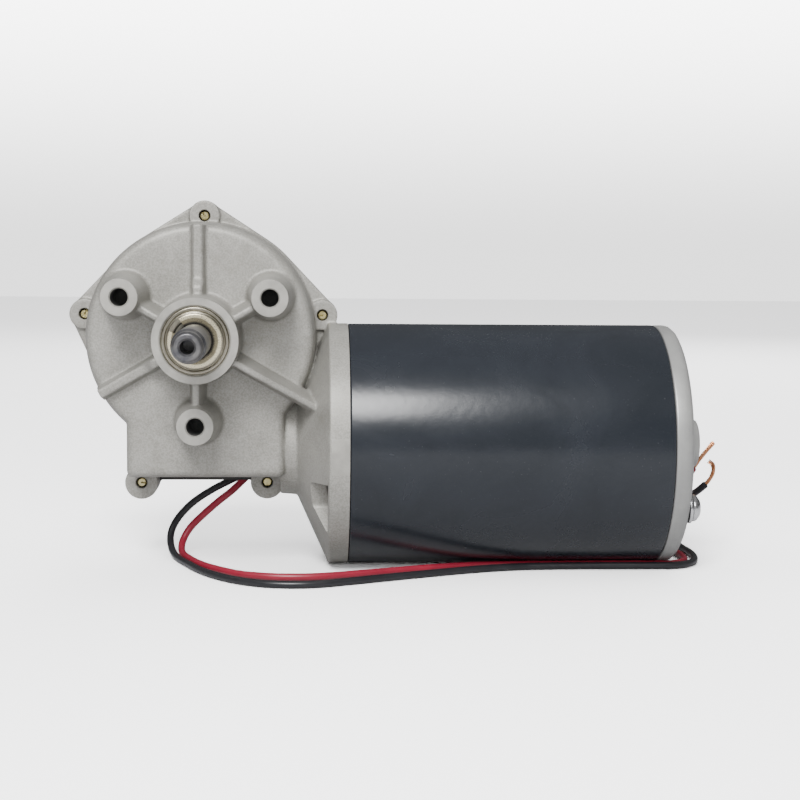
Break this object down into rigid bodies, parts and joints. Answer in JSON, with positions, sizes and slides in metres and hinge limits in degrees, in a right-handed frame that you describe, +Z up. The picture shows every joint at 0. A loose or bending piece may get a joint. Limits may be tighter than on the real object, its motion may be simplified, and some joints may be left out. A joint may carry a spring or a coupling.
{
  "type": "worm gear motor",
  "caption": "Brushed DC motor in a round black can with a right-angle worm gearbox, cast bosses for mounting, a short stepped output shaft and loose bare-ended leads.",
  "frame": {"origin": "on the table under the middle of the motor and gearbox, leads left out", "axes": "+X along the motor axis towards the rear cap, -Y along the output shaft towards its free end, +Z up"},
  "size_m": [0.2081, 0.107, 0.1144],
  "materials": {
    "cast_aluminium": "as cast, matt",
    "machined_aluminium": "satin",
    "black_enamel": "gloss",
    "yellow_zinc": "yellow zinc plated",
    "plated_steel": "bright zinc plated",
    "bearing_steel": "ground",
    "ball_steel": "polished",
    "shaft_steel": "turned, oiled",
    "gasket_paper": "matt",
    "nylon": "satin",
    "ferrite": "matt",
    "lamination_steel": "matt",
    "enamelled_copper": "varnished copper",
    "copper": "bare copper",
    "brass": "satin",
    "bronze": "sintered bronze",
    "carbon": "matt",
    "spring_steel": "bright",
    "phenolic": "matt",
    "rubber": "matt",
    "red_pvc": "satin",
    "black_pvc": "satin"
  },
  "bodies": {
    "gearbox": {"gearbox_housing": "cast_aluminium", "gearbox_cover": "cast_aluminium", "cover_gasket": "gasket_paper", "cover_screw_1": "yellow_zinc", "cover_screw_2": "yellow_zinc", "cover_screw_3": "yellow_zinc", "cover_screw_4": "yellow_zinc", "cover_screw_5": "yellow_zinc", "front_output_bearing_outer_ring": "bearing_steel", "front_output_bearing_ball_set": "ball_steel", "rear_output_bearing_outer_ring": "bearing_steel", "rear_output_bearing_ball_set": "ball_steel", "front_motor_bearing_outer_ring": "bearing_steel", "front_motor_bearing_ball_set": "ball_steel", "rear_motor_bearing_outer_ring": "bearing_steel", "rear_motor_bearing_ball_set": "ball_steel", "front_bearing_shield": "bearing_steel", "motor_can": "black_enamel", "magnet_upper": "ferrite", "magnet_lower": "ferrite", "rear_cap": "machined_aluminium", "through_bolt_1": "plated_steel", "bolt_washer_1": "plated_steel", "brush_holder_1": "brass", "carbon_brush_1": "carbon", "brush_spring_1": "spring_steel", "through_bolt_2": "plated_steel", "bolt_washer_2": "plated_steel", "brush_holder_2": "brass", "carbon_brush_2": "carbon", "brush_spring_2": "spring_steel", "worm_tip_bush": "bronze", "red_lead_strands": "copper", "black_lead_strands": "copper", "brush_plate": "phenolic", "lead_grommet": "rubber", "red_inner_lead": "red_pvc", "red_lead": "red_pvc", "black_inner_lead": "black_pvc", "black_lead": "black_pvc"},
    "output": {"output_shaft": "shaft_steel", "worm_wheel": "nylon", "wheel_hub": "bearing_steel", "shaft_key": "spring_steel", "retaining_ring": "spring_steel", "shaft_circlip": "bearing_steel", "front_output_bearing_inner_ring": "bearing_steel", "rear_output_bearing_inner_ring": "bearing_steel"},
    "armature": {"armature_shaft": "shaft_steel", "lamination_core": "lamination_steel", "windings": "enamelled_copper", "commutator": "copper", "front_motor_bearing_inner_ring": "bearing_steel", "rear_motor_bearing_inner_ring": "bearing_steel"}
  },
  "joints": [
    {"name": "armature_spin", "type": "hinge", "parent": "gearbox", "child": "armature", "pos_m": [-0.0123, 0.0155, 0.038], "axis": [1, 0, 0], "continuous": true},
    {"name": "output_spin", "type": "hinge", "parent": "gearbox", "child": "output", "pos_m": [-0.0581, 0.0155, 0.0722], "axis": [0, -1, 0], "continuous": true}
  ],
  "couplings": [
    {"joint": "output_spin", "follows": "armature_spin", "ratio": -0.022727}
  ]
}
